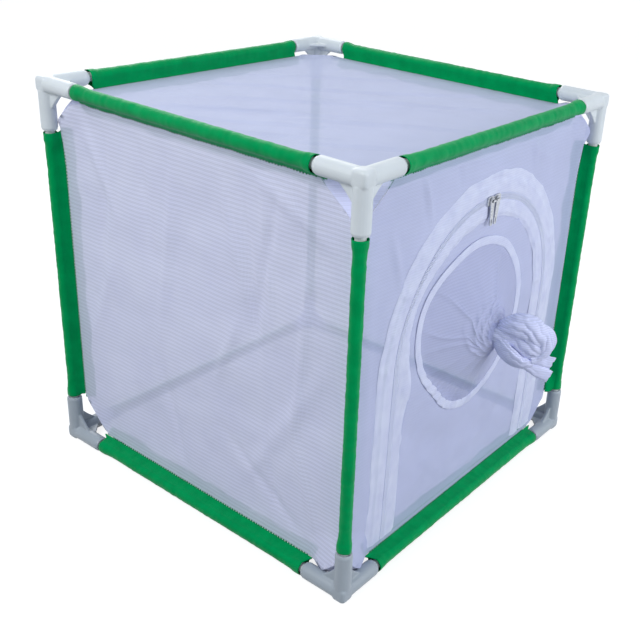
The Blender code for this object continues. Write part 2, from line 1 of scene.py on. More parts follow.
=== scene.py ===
"""Looks of the net insect cage: cloth, plastic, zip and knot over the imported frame."""

import math

import bpy
from mathutils import Matrix, Vector, noise
from mathutils.geometry import delaunay_2d_cdt


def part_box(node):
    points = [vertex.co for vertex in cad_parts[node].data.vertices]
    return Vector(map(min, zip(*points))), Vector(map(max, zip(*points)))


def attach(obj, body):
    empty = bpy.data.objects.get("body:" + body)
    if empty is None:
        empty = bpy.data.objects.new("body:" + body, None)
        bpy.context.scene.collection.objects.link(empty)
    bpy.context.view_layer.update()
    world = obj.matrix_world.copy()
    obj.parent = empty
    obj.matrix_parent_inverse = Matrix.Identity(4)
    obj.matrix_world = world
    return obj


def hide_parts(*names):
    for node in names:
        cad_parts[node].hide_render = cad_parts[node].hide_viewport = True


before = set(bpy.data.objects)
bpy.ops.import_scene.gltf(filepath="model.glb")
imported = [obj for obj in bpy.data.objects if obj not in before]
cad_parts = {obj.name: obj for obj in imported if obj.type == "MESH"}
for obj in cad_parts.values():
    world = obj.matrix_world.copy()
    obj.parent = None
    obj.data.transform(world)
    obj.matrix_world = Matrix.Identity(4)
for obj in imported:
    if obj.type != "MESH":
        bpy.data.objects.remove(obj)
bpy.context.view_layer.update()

mm = 0.001
pi = math.pi

# The cage's sizes, repeated from part.py, in millimetres
axis_half = 200.0
net_plane = 191.0
corner_cut = 38.0
hinge_drop = 185.0  # from the cage's centre down to the door's hinge

# The door's sizes, repeated from part.py: places are across from its middle and up from its hinge
door_lean = math.radians(1)
zip_radius = 132.0
zip_foot = 1.5
arch_height = 189.0
net_lap = 6.0  # from the zip's middle to the edges of the net on both sides
tape_reach = 15.0  # from the zip's middle
outer_reach, inner_reach = 26.0, 20.0  # from the zip's middle to the facings' edges
port_side, port_height, port_radius = -10.0, 190.0, 94.0
throat_side, throat_height, throat_reach, throat_radius = -8.0, 193.0, 29.0, 9.0

# Sizes of the cloth alone
door_edge = zip_radius - net_lap
port_hole = 87.0  # radius of the hole in the door's net, under the binding
facing_start = 3.8  # from the zip's middle
bulge_share = 0.6  # how much of the panel's slack the door's net and the zip take up

low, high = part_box("net_left")
centre = Vector((0, (low[1] + high[1]) / 2, (low[2] + high[2]) / 2))
hinge = centre + Vector((0, -net_plane, -hinge_drop)) * mm
door_up = Vector((0, -math.sin(door_lean), math.cos(door_lean)))
door_out = Vector((0, -math.cos(door_lean), -math.sin(door_lean)))


def at(x, y, z):
    """A place in millimetres from the cage's centre, in metres in the row frame."""
    return centre + Vector((x, y, z)) * mm


def smooth(t):
    """A soft step from 0 to 1."""
    t = max(0.0, min(1.0, t))
    return t * t * (3 - 2 * t)


def bell(angle, middle, width):
    """A bump of 1 at one angle in degrees, gone a few widths away."""
    away = (angle - middle + 180) % 360 - 180
    return math.exp(-((away / width) ** 2))


# The knot's weight pulls the soft ring out of round: angle and spread in degrees, and pull
ring_pulls = [(150, 26, 9.0), (217, 26, -11.0), (252, 24, -6.0)]


def on_door(u, front, v):
    """A place on the door: across, in front of the net and up from the hinge."""
    over, rise = u - port_side, v - port_height
    reach = math.hypot(over, rise)
    if 0 < reach < door_edge:
        share = smooth(reach / 70) * smooth((door_edge - reach) / 28)
        angle = math.degrees(math.atan2(rise, over))
        pull = share * sum(size * bell(angle, middle, width) for middle, width, size in ring_pulls)
        u += over / reach * pull
        v += rise / reach * pull
        front += 5.0 * share * bell(angle, 225, 40)
    return hinge + Vector((u, 0, 0)) * mm + (door_out * front + door_up * v) * mm


def rough(x, y, z=0.0, scale=40.0):
    """Smooth noise from about -1 to 1, with features of that many millimetres."""
    return noise.noise(Vector((x / scale, y / scale, z / scale)))


# Materials
def settle(made, **values):
    """Give a node its settings, and its inputs by their names with _ for a space."""
    for key, value in values.items():
        if hasattr(made, key):
            setattr(made, key, value)
        else:
            made.inputs[key.replace("_", " ")].default_value = value
    return made


def node(nodes, kind, **values):
    return settle(nodes.new(kind), **values)


def start_material(name, colour, roughness, metallic=0.0):
    made = bpy.data.materials.new(name)
    made.use_nodes = True
    made.diffuse_color = (*colour, 1)
    nodes, links = made.node_tree.nodes, made.node_tree.links
    shader = nodes["Principled BSDF"]
    settle(shader, Base_Color=(*colour, 1), Roughness=roughness, Metallic=metallic)
    return made, nodes, links, shader


def combined(nodes, links, operation, first, second):
    """What a math node makes of two outputs."""
    made = node(nodes, "ShaderNodeMath", operation=operation)
    links.new(first, made.inputs[0])
    links.new(second, made.inputs[1])
    return made.outputs[0]


def shade_of(colour, factor):
    return tuple(min(1.0, c * factor) for c in colour)


def mottle(nodes, links, shader, colour, amount, size, source):
    """Soft variation of the base colour, in patches of that many millimetres."""
    patches = node(nodes, "ShaderNodeTexNoise", Scale=1 / (size * mm), Detail=4.0)
    links.new(source, patches.inputs["Vector"])
    ramp = node(nodes, "ShaderNodeValToRGB")
    ramp.color_ramp.elements[0].position = 0.3
    ramp.color_ramp.elements[1].position = 0.7
    ramp.color_ramp.elements[0].color = (*shade_of(colour, 1 - amount), 1)
    ramp.color_ramp.elements[1].color = (*shade_of(colour, 1 + amount), 1)
    links.new(patches.outputs["Fac"], ramp.inputs["Fac"])
    links.new(ramp.outputs["Color"], shader.inputs["Base Color"])
    return ramp


def ribs(nodes, links, source, pitch, direction, waver=0.6):
    """Fine parallel bands, one for every pitch in millimetres."""
    wave = node(
        nodes,
        "ShaderNodeTexWave",
        wave_type="BANDS",
        bands_direction=direction,
        Scale=2 * pi / (20 * pitch * mm),
        Distortion=waver,
        Detail_Scale=0.4,
    )
    links.new(source, wave.inputs["Vector"])
    return wave


def bump(nodes, links, shader, height, strength, distance):
    made = node(nodes, "ShaderNodeBump", Strength=strength, Distance=distance * mm)
    links.new(height, made.inputs["Height"])
    links.new(made.outputs["Normal"], shader.inputs["Normal"])


def net_material(name, colour, alpha, across, along, pitch, rib, patchy=0.03, patch=45):
    """Fine mesh cloth: knitted ribs with tiny holes that let some light through."""
    made, nodes, links, shader = start_material(name, colour, 0.8)
    settle(shader, Sheen_Weight=0.15, Sheen_Roughness=0.5, Specular_IOR_Level=0.2)
    place = node(nodes, "ShaderNodeTexCoord").outputs["Object"]
    ramp = mottle(nodes, links, shader, colour, patchy, patch, place)
    wide = ribs(nodes, links, place, pitch, across, 1.4)
    fine = ribs(nodes, links, place, pitch * 0.38, across)
    threads = ribs(nodes, links, place, pitch * 0.3, along)
    shade = node(nodes, "ShaderNodeMapRange", To_Min=1 - rib, To_Max=1 + rib)
    links.new(wide.outputs["Fac"], shade.inputs["Value"])
    tint = node(nodes, "ShaderNodeVectorMath", operation="MULTIPLY")
    links.new(ramp.outputs["Color"], tint.inputs[0])
    links.new(shade.outputs["Result"], tint.inputs[1])
    links.new(tint.outputs["Vector"], shader.inputs["Base Color"])
    holes = combined(nodes, links, "MULTIPLY", fine.outputs["Fac"], threads.outputs["Fac"])
    cover = node(nodes, "ShaderNodeMapRange", To_Min=min(1.0, alpha + 0.06), To_Max=alpha - 0.14)
    links.new(holes, cover.inputs["Value"])
    links.new(cover.outputs["Result"], shader.inputs["Alpha"])
    bump(nodes, links, shader, wide.outputs["Fac"], 0.22, 0.3)
    return made


def woven_material(name, colour, roughness, pitch, variation):
    """Close woven cloth with a fine over-and-under grain."""
    made, nodes, links, shader = start_material(name, colour, roughness)
    settle(shader, Sheen_Weight=0.015, Sheen_Roughness=0.4, Specular_IOR_Level=0.12)
    settle(shader, Sheen_Tint=(*shade_of(colour, 2.0), 1))
    place = node(nodes, "ShaderNodeTexCoord").outputs["Object"]
    mottle(nodes, links, shader, colour, variation, 14, place)
    total = None
    for direction in ("X", "Y", "Z"):
        one = ribs(nodes, links, place, pitch, direction).outputs["Fac"]
        total = one if total is None else combined(nodes, links, "ADD", total, one)
    bump(nodes, links, shader, total, 0.35, 0.12)
    return made


def plastic_material(name, colour, roughness):
    """Moulded plastic with a faint orange peel and soft dirt."""
    made, nodes, links, shader = start_material(name, colour, roughness)
    settle(shader, Subsurface_Weight=0.12, Subsurface_Radius=(0.004, 0.004, 0.005))
    place = node(nodes, "ShaderNodeTexCoord").outputs["Object"]
    mottle(nodes, links, shader, colour, 0.035, 25, place)
    peel = node(nodes, "ShaderNodeTexNoise", Scale=900.0, Detail=2.0)
    links.new(place, peel.inputs["Vector"])
    bump(nodes, links, shader, peel.outputs["Fac"], 0.12, 0.1)
    return made


def metal_material(name, colour, roughness):
    """Plated die-cast metal with fine pits."""
    made, nodes, links, shader = start_material(name, colour, roughness, 1.0)
    place = node(nodes, "ShaderNodeTexCoord").outputs["Object"]
    mottle(nodes, links, shader, colour, 0.25, 1.5, place)
    pits = node(nodes, "ShaderNodeTexVoronoi", Scale=900.0)
    links.new(place, pits.inputs["Vector"])
    bump(nodes, links, shader, pits.outputs["Distance"], 0.5, 0.2)
    return made


# The bag's panels are one net cloth, given a different tone on each face: lighter on the left and
# right sides, darker on the front, back and door, and on the top and bottom. These differences are
# painted light and shade, for how the lamps fall on each face.
net_side = net_material("net_side", (0.78, 0.79, 1.0), 0.76, "Z", "Y", 4.4, 0.072)
net_front_cloth = net_material("net_front_cloth", (0.60, 0.635, 0.89), 0.72, "Z", "X", 3.6, 0.02)
net_flat = net_material("net_flat", (0.61, 0.64, 0.85), 0.76, "Y", "X", 3.0, 0.025)
# The port's funnel and its knot are one net cloth; the funnel's darker tone is painted shade, for
# its downward-facing, shaded surfaces.
sleeve_net = net_material("sleeve_net", (0.50, 0.53, 0.79), 0.68, "Z", "X", 3.0, 0.04)
corner_net = net_material("corner_net", (0.70, 0.72, 0.97), 0.84, "Z", "X", 3.0, 0.03)
# The knot is the port's sleeve tied off; its lighter tone than the funnel is painted light.
knot_net = net_material("knot_net", (0.70, 0.72, 0.96), 1.0, "Z", "X", 2.0, 0.08)
facing_cloth = net_material("facing_cloth", (0.74, 0.765, 1.0), 0.92, "Z", "X", 2.4, 0.03, 0.07, 15)
green_cloth = woven_material("green_cloth", (0.0, 0.302, 0.082), 0.44, 0.7, 0.10)
green_shader = green_cloth.node_tree.nodes["Principled BSDF"]
settle(green_shader, Specular_IOR_Level=0.16, Specular_Tint=(0.0, 1.0, 0.55, 1))
stitch_thread = woven_material("stitch_thread", (0.01, 0.22, 0.09), 0.6, 0.5, 0.10)
tape_cloth = woven_material("tape_cloth", (0.74, 0.77, 1.0), 0.7, 0.6, 0.05)
coil_plastic = plastic_material("coil_plastic", (0.78, 0.81, 1.0), 0.4)
fitting_plastic = plastic_material("fitting_plastic", (0.70, 0.74, 0.76), 0.38)
# The lower fittings are the same plastic as the upper ones; this darker, bluer copy is painted
# shade, for the shade they stand in near the floor.
fitting_plastic_painted_shade = plastic_material("fitting_plastic_painted_shade", (0.38, 0.425, 0.47), 0.40)
tube_plastic = plastic_material("tube_plastic", (0.78, 0.80, 0.80), 0.4)
slider_metal = metal_material("slider_metal", (0.50, 0.52, 0.56), 0.32)


# Meshes
square = ((-1, -1), (1, -1), (1, 1), (-1, 1))


def make(name, points, faces, finish, flat=False):
    mesh = bpy.data.meshes.new(name)
    mesh.from_pydata([Vector(p) for p in points], [], faces)
    if not flat:
        mesh.shade_smooth()
    mesh.materials.append(finish)
    made = bpy.data.objects.new(name, mesh)
    bpy.context.scene.collection.objects.link(made)
    return made


def grid_faces(rows, columns, wrap=False):
    """Quads between neighbouring points of a grid, row after row."""
    faces = []
    for i in range(rows - 1):
        for k in range(columns if wrap else columns - 1):
            n = (k + 1) % columns
            faces.append(
                (i * columns + k, i * columns + n, (i + 1) * columns + n, (i + 1) * columns + k)
            )
    return faces


def crossings(loop, x, y):
    """How often the outline is met to the right of a place: an odd number inside it."""
    count = 0
    for (ax, ay), (bx, by) in zip(loop, loop[1:] + loop[:1]):
        if (ay > y) != (by > y):
            count += x < ax + (bx - ax) * (y - ay) / (by - ay)
    return count


def fill(loops, spacing):
    """Flat points and triangles between closed outlines, about evenly spaced."""
    flat, edges = [], []
    for loop in loops:
        base = len(flat)
        flat += loop
        edges += [(base + k, base + (k + 1) % len(loop)) for k in range(len(loop))]
    xs = [p[0] for p in loops[0]]
    ys = [p[1] for p in loops[0]]
    rise = spacing * math.sqrt(3) / 2
    rows = int((max(ys) - min(ys)) / rise)
    near = {(round(x / spacing), round(y / spacing)) for x, y in flat}
    for j in range(rows + 1):
        y = min(ys) + j * rise
        for i in range(int((max(xs) - min(xs)) / spacing) + 1):
            x = min(xs) + (i + 0.5 * (j % 2)) * spacing
            if (round(x / spacing), round(y / spacing)) in near:
                continue
            if sum(crossings(loop, x, y) for loop in loops) % 2:
                flat.append((x, y))
    spots, _, triangles, *_ = delaunay_2d_cdt([Vector(p) for p in flat], edges, [], 0, 1e-4)
    kept = []
    for face in triangles:
        x = sum(spots[i].x for i in face) / len(face)
        y = sum(spots[i].y for i in face) / len(face)
        if sum(crossings(loop, x, y) for loop in loops) % 2:
            kept.append(tuple(face))
    return [(p.x, p.y) for p in spots], kept


def resample(loop, step):
    """More points on a closed outline, none further apart than a step."""
    more = []
    for (ax, ay), (bx, by) in zip(loop, loop[1:] + loop[:1]):
        count = max(1, math.ceil(math.hypot(bx - ax, by - ay) / step))
        more += [(ax + (bx - ax) * k / count, ay + (by - ay) * k / count) for k in range(count)]
    return more


def octagon(edge, cut):
    """A square of that half side, with its corners cut back to that distance from the middle."""
    points = []
    for k in range(4):
        c, s = round(math.cos(pi / 2 * k)), round(math.sin(pi / 2 * k))
        points += [(c * edge - s * b, s * edge + c * b) for b in (-cut, cut)]
    return points


def crease(u, v, line, width, height):
    """A long soft fold along a line, highest at its middle."""
    (ax, ay), (bx, by) = line
    dx, dy = bx - ax, by - ay
    length = math.hypot(dx, dy)
    t = ((u - ax) * dx + (v - ay) * dy) / length**2
    if not 0 < t < 1:
        return 0.0
    away = ((u - ax) * dy - (v - ay) * dx) / length
    return 0.62 * height * math.sin(pi * t) * math.exp(-((away / width) ** 2))


# Net panels
panel_edge = 190.7  # from a panel's middle to its seams
cut_edge = panel_edge - corner_cut
loose_start = 510.0  # sum of a place's three distances, where a corner's loose cloth starts


def edge_fade(u, v, reach=30.0):
    """0 on a panel's seams, 1 from that far inside them."""
    seam = min(panel_edge - abs(u), panel_edge - abs(v))
    seam = min(seam, (panel_edge + cut_edge - abs(u) - abs(v)) / math.sqrt(2))
    return smooth(seam / reach)


def slack(u, v, seed, creases, amount=2.2):
    """How far the cloth stands off its plane."""
    h = amount * rough(u, v, seed * 97.0, 70) + 0.7 * rough(u, v, seed * 31.0, 22)
    for line, width, height in creases:
        h += crease(u, v, line, width, height)
    return h * edge_fade(u, v)


def upper_pull(z):
    """The webs of the upper tubes hang down, so the sides reach further out up there."""
    return 3.5 * smooth((z - 110) / 80)


# How far loose cloth bags out at the cut corners: right, back, up
corner_slack = {
    (-1, -1, -1): 11, (1, -1, -1): 2, (-1, 1, -1): 1, (1, 1, -1): 3,
    (-1, -1, 1): 0, (1, -1, 1): 7, (-1, 1, 1): 5, (1, 1, 1): 3,
}


def bagged(spot):
    """A place on the bag, moved out where loose cloth hangs in a corner."""
    signs = tuple(1 if c > 0 else -1 for c in spot)
    least = min(abs(c) for c in spot)
    total = sum(abs(c) for c in spot)
    share = smooth((least - cut_edge) / 7) * smooth((total - loose_start) / 24)
    share *= corner_slack[signs]
    return [c + k * share * (1 - 0.4 * smooth((abs(c) - 178) / 12)) for c, k in zip(spot, signs)]


def pulled(spot, share=0.0):
    """A place on the bag, in millimetres, moved with the seams of the upper webs."""
    x, y, z = bagged(spot)
    out = upper_pull(z) * (1 - share)
    x += math.copysign(out * smooth((abs(x) - 160) / 30), x)
    y += math.copysign(out * smooth((abs(y) - 160) / 30), y)
    return at(x, y, z - 2.5 * smooth((z - 165) / 25))


def plain_panel(name, axis, sign, finish, creases, seed, amount=2.2):
    spots, faces = fill([resample(octagon(panel_edge, cut_edge), 4)], 4)
    points = []
    for u, v in spots:
        spot = [u, v]
        spot.insert(axis, sign * (net_plane + slack(u, v, seed, creases, amount)))
        points.append(pulled(spot))
    made = make(name, points, faces, finish)
    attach(made, "cage")
    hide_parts(name)


# Soft folds of the panels: the line from end to end, its width and its height
left_creases = [
    (((-150, 150), (-120, -120)), 6, 3.5),
    (((-112, 188), (-70, 0)), 5, -4.0),
    (((-86, 188), (-100, 10)), 5, 3.5),
    (((-60, 188), (-84, -40)), 6, -4.0),
    (((-125, 188), (-150, 40)), 6, -3.0),
    (((-30, 188), (-66, 40)), 6, 3.5),
    (((20, 188), (60, -60)), 7, 3.5),
    (((75, 188), (60, 40)), 6, -3.0),
    (((120, 185), (150, -20)), 6, -3.5),
    (((165, 188), (110, 70)), 6, 3.5),
    (((-185, 120), (-60, 186)), 7, 3.0),
    (((-180, 40), (-40, -180)), 9, 3.5),
    (((-120, -40), (-165, -185)), 5, 3.5),
    (((-90, -60), (-110, -188)), 5, -3.5),
    (((-20, -90), (-160, -188)), 6, -3.0),
    (((60, -40), (20, -185)), 7, -3.5),
    (((110, 60), (185, -110)), 8, 3.5),
    (((-60, 40), (-20, -60)), 6, 3.0),
]
right_creases = [
    (((-140, 185), (-90, -60)), 8, 3.5),
    (((40, 185), (10, 10)), 9, -3.5),
    (((120, 120), (150, -160)), 8, 3.5),
    (((-60, -20), (-120, -185)), 9, 3.0),
]
back_creases = [
    (((-150, 170), (-90, 0)), 8, 3.5),
    (((60, 186), (20, 20)), 9, -3.5),
    (((100, 40), (140, -170)), 8, 3.5),
    (((-40, -30), (-20, -186)), 9, 3.0),
]
top_creases = [
    (((-186, 150), (-20, -60)), 4.5, 4.5),
    (((-186, 100), (-60, -90)), 4, -4.0),
    (((-120, 150), (90, -120)), 4.5, 4.0),
    (((-60, 180), (120, -60)), 5, -4.0),
    (((-100, 10), (40, -186)), 4.5, 4.5),
    (((-20, 60), (150, -180)), 4.5, 3.5),
    (((20, 170), (180, -20)), 6, 3.5),
    (((-150, -60), (-60, -186)), 4.5, -4.0),
    (((60, 20), (186, -120)), 5, -3.5),
    (((-186, 40), (-90, -110)), 3.5, 4.0),
    (((-150, 120), (-40, -20)), 3.5, -3.5),
]
bottom_creases = [
    (((-170, -90), (160, -60)), 12, 3.0),
    (((-120, 90), (170, 110)), 12, -3.0),
]
plain_panel("net_left", 0, -1, net_side, left_creases, 1)
plain_panel("net_right", 0, 1, net_side, right_creases, 2)
plain_panel("net_back", 1, 1, net_front_cloth, back_creases, 3)
plain_panel("net_top", 2, 1, net_flat, top_creases, 4, 1.2)
plain_panel("net_bottom", 2, -1, net_flat, bottom_creases, 5, 1.0)


# Cut corners of the bag
def corner_patch(name, right, back, up):
    """A three-sided piece of net, a little hollow, between the three cut edges."""
    signs = Vector((right, back, up))
    tips = []
    for k in range(3):
        tip = signs * panel_edge
        tip[k] -= signs[k] * corner_cut
        tips.append(tip)
    count = 12
    points, index = [], {}
    middle = sum(tips, Vector()) / 3
    for i in range(count + 1):
        for j in range(count + 1 - i):
            a, b = i / count, j / count
            spot = tips[0] * (1 - a - b) + tips[1] * a + tips[2] * b
            inside = 27 * a * b * (1 - a - b)
            spot = spot.lerp(middle - signs * 2.0, 0.12 * inside)
            index[i, j] = len(points)
            points.append(pulled(spot))
    faces = []
    for i in range(count):
        for j in range(count - i):
            faces.append((index[i, j], index[i + 1, j], index[i, j + 1]))
            if i + j < count - 1:
                faces.append((index[i + 1, j], index[i + 1, j + 1], index[i, j + 1]))
    made = make(name, points, faces, corner_net)
    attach(made, "cage")
    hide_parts(name)


sides = {"left": -1, "right": 1}
depths = {"front": -1, "back": 1}
levels = {"bottom": -1, "top": 1}
for level, up in levels.items():
    for depth, back in depths.items():
        for side, right in sides.items():
            corner_patch(f"net_corner_{level}_{depth}_{side}", right, back, up)


# Front panel round the door
def arch(offset, foot, steps=90, side_steps=40):
    """The door's arch, that far outside the zip's middle, from its left foot to its right one."""
    radius = zip_radius + offset
    points = [(-radius, foot + (arch_height - foot) * k / side_steps) for k in range(side_steps)]
    for k in range(steps + 1):
        angle = pi * (1 - k / steps)
        points.append((radius * math.cos(angle), arch_height + radius * math.sin(angle)))
    points += [(-u, v) for u, v in reversed(points[:side_steps])]
    return points


def arch_distance(u, v):
    """How far a place lies outside the zip's middle, in the door's frame."""
    if v > arch_height:
        return math.hypot(u, v - arch_height) - zip_radius
    return abs(u) - zip_radius


def outward(u, v):
    """The way straight out from the arch, at a place on it."""
    if v > arch_height:
        return Vector((u, v - arch_height)).normalized()
    return Vector((math.copysign(1, u), 0))


def front_bulge(u, v):
    """The slack that the panel and the door share round the zip."""
    return 1.6 * rough(u, v, 11.0, 60) * smooth((v - 5) / 40)


# The front panel's folds, in the door's frame: the line, its width and its height
front_creases = [
    (((-150, 330), (-128, 250)), 4, 3.0),
    (((-113, 376), (-94, 314)), 2.6, 5.0),
    (((-60, 374), (-52, 335)), 4, -3.0),
    (((70, 374), (84, 330)), 4, 3.0),
    (((-40, 372), (30, 340)), 6, 2.5),
    (((-175, 300), (-165, 60)), 7, 2.5),
    (((172, 320), (168, 90)), 7, -2.0),
    (((60, 372), (120, 330)), 7, 2.5),
]


def front_panel():
    opening = [(u, v - hinge_drop) for u, v in arch(net_lap, 0.0)]
    outline = octagon(panel_edge, cut_edge)
    spots, faces = fill([resample(outline, 3.4), opening], 3.4)
    points = []
    for x, z in spots:
        v = z + hinge_drop
        near = smooth(1 - (arch_distance(x, v) - outer_reach) / outer_reach)
        h = front_bulge(x, v)
        for line, width, height in front_creases:
            h += crease(x, v, line, width, height)
        h *= edge_fade(x, z, 14)
        lean = max(v, 0) * math.tan(door_lean)
        seam = min(panel_edge - abs(x), panel_edge - abs(z))
        outside = max(arch_distance(x, v) - outer_reach, 0)
        share = seam / (seam + outside) if seam + outside > 0 else 0
        share = max(0, min(1, share))
        rim = 4.0 * math.exp(-(((abs(x) - 178) / 8) ** 2)) * smooth((x + 100) / 50)
        h = h * (1 - 0.5 * near) + lean * share + rim * edge_fade(x, z, 8)
        points.append(pulled((x, -(net_plane + h), z), share))
    made = make("net_front", points, faces, net_front_cloth)
    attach(made, "cage")
    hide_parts("net_front")


front_panel()


# Door
def door_panel():
    foot_gap = 0.3
    outline = arch(-net_lap, foot_gap)
    port_steps = 120
    port = []
    for k in range(port_steps):
        angle = 2 * pi * k / port_steps
        over, rise = port_hole * math.cos(angle), port_hole * math.sin(angle)
        port.append((port_side + over, port_height + rise))
    spots, faces = fill([outline, port], 3.5)
    points = []
    for u, v in spots:
        ring = math.hypot(u - port_side, v - port_height)
        fade = smooth((ring - port_hole) / 25) * smooth(-arch_distance(u, v) / 30)
        h = front_bulge(u, v) * (1 - smooth((100 - ring) / 15))
        h += fade * (2.5 * rough(u, v, 5.0, 35) + 1.2 * rough(u, v, 9.0, 14))
        h *= smooth(v / 25)
        points.append(on_door(u, h * bulge_share, v))
    made = make("door_net", points, faces, net_front_cloth)
    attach(made, "door")
    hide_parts("door_net")


door_panel()


def strip(name, start, end, finish, body, seed):
    """A folded band of net along the arch, with soft edges, puckers and an uneven width."""
    wide = end - start
    count = 18
    base = arch(0, zip_foot, 220)
    points = []
    for i, (u, v) in enumerate(base):
        s = i * 3.2
        way = outward(u, v)
        lift = front_bulge(u, v) * bulge_share
        ripple = 2.4 * rough(s, seed * 51.0, 0, 34) + 0.6 * rough(s, seed * 20.0, 0, 9)
        for side in (1, -1):
            for k in range(count + 1) if side > 0 else range(count - 1, 0, -1):
                t = k / count
                far = t if abs(end) > abs(start) else 1 - t
                across = start + wide * t
                edge = math.sqrt(max(0.0, 1 - (2 * t - 1) ** 8))
                pucker = 1.1 * rough(s, across * 2.5, seed * 13.0, 13)
                pucker += 0.45 * rough(s * 2.2, across, seed * 77.0, 10)
                pucker += 1.1 * smooth(abs(rough(s, across * 0.4, seed * 33.0, 26)) * 2.2 - 0.6)
                pucker = max(pucker, -0.12) * smooth((abs(across) - 5.5) / 5)
                seat = 0.12 + 1.08 * (1 - smooth((abs(across) - 15.2) / 3.5))
                h = seat + (0.35 * edge if side > 0 else 0) + pucker * edge * 0.75
                spread = across + ripple * far * (1 if across > 0 else -1)
                points.append(on_door(u + way.x * spread, h + lift, v + way.y * spread))
    made = make(name, points, grid_faces(len(base), 2 * count, True), finish)
    for edge in made.data.edges:
        columns = {i % (2 * count) for i in edge.vertices}
        edge.use_edge_sharp = columns in ({0}, {count})
    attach(made, body)
    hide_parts(name)


strip("facing_outer", facing_start, outer_reach, facing_cloth, "cage", 1)
strip("facing_inner", -facing_start, -inner_reach, facing_cloth, "door", 2)


# Zip: two tapes and two rows of coil
def coil_places(side):
    """Where the teeth of one row sit on the arch, with the way straight out at each."""
    pitch = 1.5
    run = arch_height - zip_foot
    total = 2 * run + pi * zip_radius
    places = []
    for k in range(int(total / pitch)):
        s = (k + (0.5 if side > 0 else 0)) * pitch
        if s < run:
            places.append((-zip_radius, zip_foot + s, Vector((-1, 0))))
        elif s < run + pi * zip_radius:
            angle = pi - (s - run) / zip_radius
            way = Vector((math.cos(angle), math.sin(angle)))
            places.append((zip_radius * way.x, arch_height + zip_radius * way.y, way))
        elif s < total:
            places.append((zip_radius, arch_height - (s - run - pi * zip_radius), Vector((1, 0))))
    return places


def zip_half(side, body, node_name):
    """One tape with its row of teeth, outside the zip's middle at side 1, inside it at -1."""
    base = arch(0, zip_foot, 180)
    tape_start, tape_back, tape_front = 3.0, 0.6, 1.1
    section = [
        (tape_start, tape_back),
        (tape_start, tape_front),
        (6.0, 1.15),
        (tape_reach, tape_front),
        (tape_reach, tape_back),
    ]
    points = []
    for u, v in base:
        way = outward(u, v)
        lift = front_bulge(u, v) * bulge_share
        for offset, depth in section:
            points.append(
                on_door(u + way.x * side * offset, depth + lift, v + way.y * side * offset)
            )
    faces = grid_faces(len(base), len(section), True)
    base_count = len(points)

    # Sections of a tooth: how far from the zip's middle, half the height and half the width
    teeth = ((-0.35, 0.6, 0.33), (0.9, 0.95, 0.33), (3.1, 0.8, 0.5))
    tooth_front = 0.85
    for u, v, way in coil_places(side):
        lift = front_bulge(u, v) * bulge_share
        along = Vector((-way.y, way.x))
        first = len(points)
        for reach, tall, thick in teeth:
            for a, b in square:
                spot = Vector((u, v)) + way * side * reach + along * a * thick
                points.append(on_door(spot.x, tooth_front + b * tall + lift, spot.y))
        for ring in range(2):
            for k in range(4):
                n = (k + 1) % 4
                low_ring, high_ring = first + ring * 4, first + ring * 4 + 4
                faces.append((low_ring + k, low_ring + n, high_ring + n, high_ring + k))
        faces.append(tuple(first + k for k in range(4)))
        faces.append(tuple(first + 8 + k for k in range(4)))
    made = make(node_name, points, faces, tape_cloth)
    made.data.materials.append(coil_plastic)
    for polygon in made.data.polygons:
        if min(polygon.vertices) >= base_count:
            polygon.material_index = 1
            polygon.use_smooth = False
    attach(made, body)
    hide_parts(node_name)


zip_half(1, "cage", "zip_tape_outer")
zip_half(-1, "door", "zip_tape_inner")


# Binding of the port
def binding():
    """The soft ring round the port, pleated at its lower left."""
    rings, around = 220, 14
    middle_radius, half_width, half_height = port_radius - 4.5, 4.6, 0.55
    points = []
    for i in range(rings):
        angle = 2 * pi * i / rings
        lower_left = max(0.0, math.cos(angle - math.radians(240))) ** 2
        pleat = lower_left * math.sin(34 * angle)
        for k in range(around):
            turn = 2 * pi * k / around
            wide = half_width * math.copysign(abs(math.cos(turn)) ** 0.7, math.cos(turn))
            tall = half_height * math.copysign(abs(math.sin(turn)) ** 0.8, math.sin(turn))
            ripple = 0.45 * rough(angle * port_radius, k * 9.0, 3.0, 9)
            radius = middle_radius + wide + 1.3 * rough(angle * port_radius, 0, 7.0, 45)
            front = 0.9 + tall + ripple + 0.9 * pleat * (1 if tall > 0 else 0.2)
            u = port_side + radius * math.cos(angle)
            v = port_height + radius * math.sin(angle)
            points.append(on_door(u, front, v))
    faces = grid_faces(rings, around, True)
    last = (rings - 1) * around
    faces += [(last + k, last + (k + 1) % around, (k + 1) % around, k) for k in range(around)]
    made = make("port_binding", points, faces, facing_cloth)
    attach(made, "door")
    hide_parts("port_binding")


binding()


# Folds of the port's net sleeve, from the ring to the throat: angle in degrees, height and width
funnel_creases = [
    (20, 1.2, 7),
    (66, 2.0, 3),
    (92, 1.0, 7),
    (118, 0.9, 8),
    (139, 1.7, 2.0),
    (163, 1.7, 2.0),
    (176, 1.4, 3),
    (199, 1.2, 5),
    (226, 1.4, 6),
    (251, 1.8, 5),
    (280, 1.4, 6),
    (318, 1.4, 6),
    (344, 1.4, 6),
]


